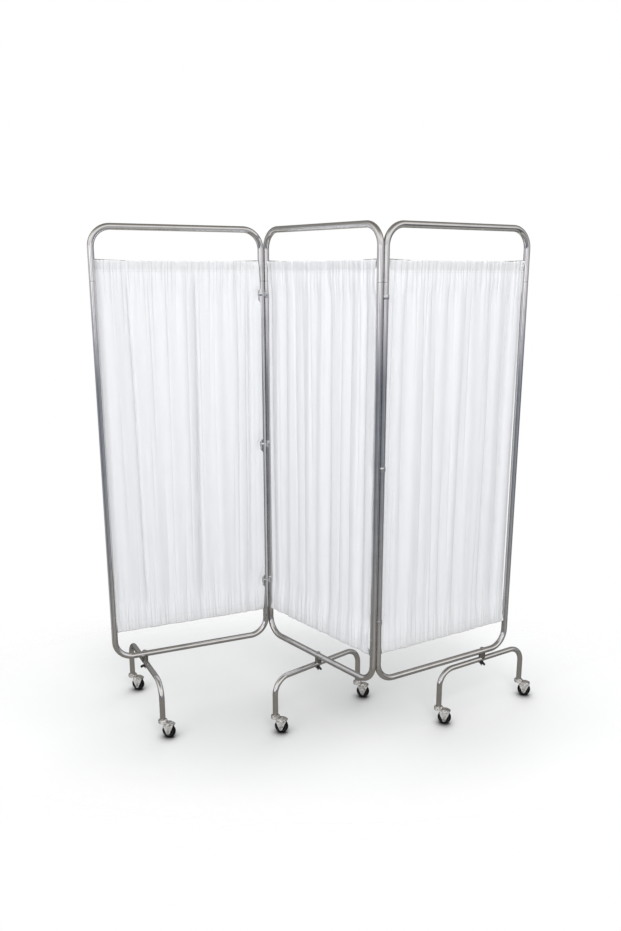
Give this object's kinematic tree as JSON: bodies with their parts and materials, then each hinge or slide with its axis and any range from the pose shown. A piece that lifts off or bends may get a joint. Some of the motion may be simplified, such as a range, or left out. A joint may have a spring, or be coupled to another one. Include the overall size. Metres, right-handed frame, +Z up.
{
  "type": "ward privacy screen on wheels",
  "caption": "Free-standing folding ward screen: hinged round-tube panels with gathered white curtains, each on a swivelling bent-tube foot with casters.",
  "frame": {"origin": "on the floor, under the middle of the whole screen's box as it stands in its zigzag", "axes": "+Z up; +X along the middle panel from the left panel's hinge to the right panel's; -Y towards the side from which the left panel comes forward"},
  "size_m": [1.0794, 1.3708, 1.791],
  "materials": {
    "tube_chrome": "polished plate",
    "caster_chrome": "bright pressed plate",
    "hinge_steel": "bright plated strip",
    "wire_steel": "drawn wire",
    "plain_steel": "zinc plated",
    "curtain_cloth": "thin white gathered cloth",
    "black_plastic": "moulded",
    "black_tyre": "smooth"
  },
  "bodies": {
    "middle_panel": {"middle_top_bow": "tube_chrome", "middle_bottom_bow": "tube_chrome", "middle_left_upright": "tube_chrome", "middle_right_upright": "tube_chrome", "middle_top_wire": "wire_steel", "middle_bottom_wire": "wire_steel", "middle_curtain": "curtain_cloth", "middle_rail_saddle": "tube_chrome", "middle_clamp_bolt": "plain_steel", "left_hinge_top": "hinge_steel", "left_hinge_middle": "hinge_steel", "left_hinge_bottom": "hinge_steel", "right_hinge_top": "hinge_steel", "right_hinge_middle": "hinge_steel", "right_hinge_bottom": "hinge_steel"},
    "left_panel": {"left_top_bow": "tube_chrome", "left_bottom_bow": "tube_chrome", "left_left_upright": "tube_chrome", "left_right_upright": "tube_chrome", "left_top_wire": "wire_steel", "left_bottom_wire": "wire_steel", "left_curtain": "curtain_cloth", "left_rail_saddle": "tube_chrome", "left_clamp_bolt": "plain_steel"},
    "right_panel": {"right_top_bow": "tube_chrome", "right_bottom_bow": "tube_chrome", "right_left_upright": "tube_chrome", "right_right_upright": "tube_chrome", "right_top_wire": "wire_steel", "right_bottom_wire": "wire_steel", "right_curtain": "curtain_cloth", "right_rail_saddle": "tube_chrome", "right_clamp_bolt": "plain_steel"},
    "left_foot": {"left_foot_saddle": "tube_chrome", "left_foot_tube": "tube_chrome"},
    "left_nut": {"left_wing_nut": "black_plastic"},
    "left_front_fork": {"left_front_caster_fork": "caster_chrome", "left_front_caster_axle": "plain_steel"},
    "left_front_wheel": {"left_front_caster_wheel": "black_tyre"},
    "left_rear_fork": {"left_rear_caster_fork": "caster_chrome", "left_rear_caster_axle": "plain_steel"},
    "left_rear_wheel": {"left_rear_caster_wheel": "black_tyre"},
    "middle_foot": {"middle_foot_saddle": "tube_chrome", "middle_foot_tube": "tube_chrome"},
    "middle_nut": {"middle_wing_nut": "black_plastic"},
    "middle_front_fork": {"middle_front_caster_fork": "caster_chrome", "middle_front_caster_axle": "plain_steel"},
    "middle_front_wheel": {"middle_front_caster_wheel": "black_tyre"},
    "middle_rear_fork": {"middle_rear_caster_fork": "caster_chrome", "middle_rear_caster_axle": "plain_steel"},
    "middle_rear_wheel": {"middle_rear_caster_wheel": "black_tyre"},
    "right_foot": {"right_foot_saddle": "tube_chrome", "right_foot_tube": "tube_chrome"},
    "right_nut": {"right_wing_nut": "black_plastic"},
    "right_front_fork": {"right_front_caster_fork": "caster_chrome", "right_front_caster_axle": "plain_steel"},
    "right_front_wheel": {"right_front_caster_wheel": "black_tyre"},
    "right_rear_fork": {"right_rear_caster_fork": "caster_chrome", "right_rear_caster_axle": "plain_steel"},
    "right_rear_wheel": {"right_rear_caster_wheel": "black_tyre"}
  },
  "joints": [
    {"name": "left_panel_fold", "type": "hinge", "parent": "middle_panel", "child": "left_panel", "pos_m": [-0.19082, -0.09527, 1.005], "axis": [0, 0, 1], "range_deg": [-75, 105]},
    {"name": "right_panel_fold", "type": "hinge", "parent": "middle_panel", "child": "right_panel", "pos_m": [0.40918, -0.04727, 1.005], "axis": [0, 0, 1], "range_deg": [-82.5, 45]},
    {"name": "left_foot_swivel", "type": "hinge", "parent": "left_panel", "child": "left_foot", "pos_m": [-0.31816, -0.5705, 0.2065], "axis": [0, 0, 1], "continuous": true},
    {"name": "left_nut_turn", "type": "hinge", "parent": "left_foot", "child": "left_nut", "pos_m": [-0.31816, -0.5705, 0.1902], "axis": [0, 0, 1], "continuous": true},
    {"name": "middle_foot_swivel", "type": "hinge", "parent": "middle_panel", "child": "middle_foot", "pos_m": [0.10918, -0.07126, 0.2065], "axis": [0, 0, 1], "continuous": true},
    {"name": "middle_nut_turn", "type": "hinge", "parent": "middle_foot", "child": "middle_nut", "pos_m": [0.10918, -0.07126, 0.1902], "axis": [0, 0, 1], "continuous": true},
    {"name": "right_foot_swivel", "type": "hinge", "parent": "right_panel", "child": "right_foot", "pos_m": [0.4734, 0.44052, 0.2065], "axis": [0, 0, 1], "continuous": true},
    {"name": "right_nut_turn", "type": "hinge", "parent": "right_foot", "child": "right_nut", "pos_m": [0.4734, 0.44052, 0.1902], "axis": [0, 0, 1], "continuous": true},
    {"name": "left_front_swivel", "type": "hinge", "parent": "left_foot", "child": "left_front_fork", "pos_m": [-0.11354, -0.61774, 0.062], "axis": [0, 0, 1], "continuous": true},
    {"name": "left_front_roll", "type": "hinge", "parent": "left_front_fork", "child": "left_front_wheel", "pos_m": [-0.0947, -0.60455, 0.025], "axis": [-0.5736, 0.8192, 0], "continuous": true},
    {"name": "left_rear_swivel", "type": "hinge", "parent": "left_foot", "child": "left_rear_fork", "pos_m": [-0.52277, -0.52326, 0.062], "axis": [0, 0, 1], "continuous": true},
    {"name": "left_rear_roll", "type": "hinge", "parent": "left_rear_fork", "child": "left_rear_wheel", "pos_m": [-0.50394, -0.51007, 0.025], "axis": [-0.5736, 0.8192, 0], "continuous": true},
    {"name": "middle_front_swivel", "type": "hinge", "parent": "middle_foot", "child": "middle_front_fork", "pos_m": [0.11834, -0.28107, 0.062], "axis": [0, 0, 1], "continuous": true},
    {"name": "middle_front_roll", "type": "hinge", "parent": "middle_front_fork", "child": "middle_front_wheel", "pos_m": [0.13718, -0.26787, 0.025], "axis": [-0.5736, 0.8192, 0], "continuous": true},
    {"name": "middle_rear_swivel", "type": "hinge", "parent": "middle_foot", "child": "middle_rear_fork", "pos_m": [0.10002, 0.13853, 0.062], "axis": [0, 0, 1], "continuous": true},
    {"name": "middle_rear_roll", "type": "hinge", "parent": "middle_rear_fork", "child": "middle_rear_wheel", "pos_m": [0.11886, 0.15173, 0.025], "axis": [-0.5736, 0.8192, 0], "continuous": true},
    {"name": "right_front_swivel", "type": "hinge", "parent": "right_foot", "child": "right_front_fork", "pos_m": [0.45145, 0.23168, 0.062], "axis": [0, 0, 1], "continuous": true},
    {"name": "right_front_roll", "type": "hinge", "parent": "right_front_fork", "child": "right_front_wheel", "pos_m": [0.47029, 0.24487, 0.025], "axis": [-0.5736, 0.8192, 0], "continuous": true},
    {"name": "right_rear_swivel", "type": "hinge", "parent": "right_foot", "child": "right_rear_fork", "pos_m": [0.49535, 0.64938, 0.062], "axis": [0, 0, 1], "continuous": true},
    {"name": "right_rear_roll", "type": "hinge", "parent": "right_rear_fork", "child": "right_rear_wheel", "pos_m": [0.51419, 0.66257, 0.025], "axis": [-0.5736, 0.8192, 0], "continuous": true}
  ]
}
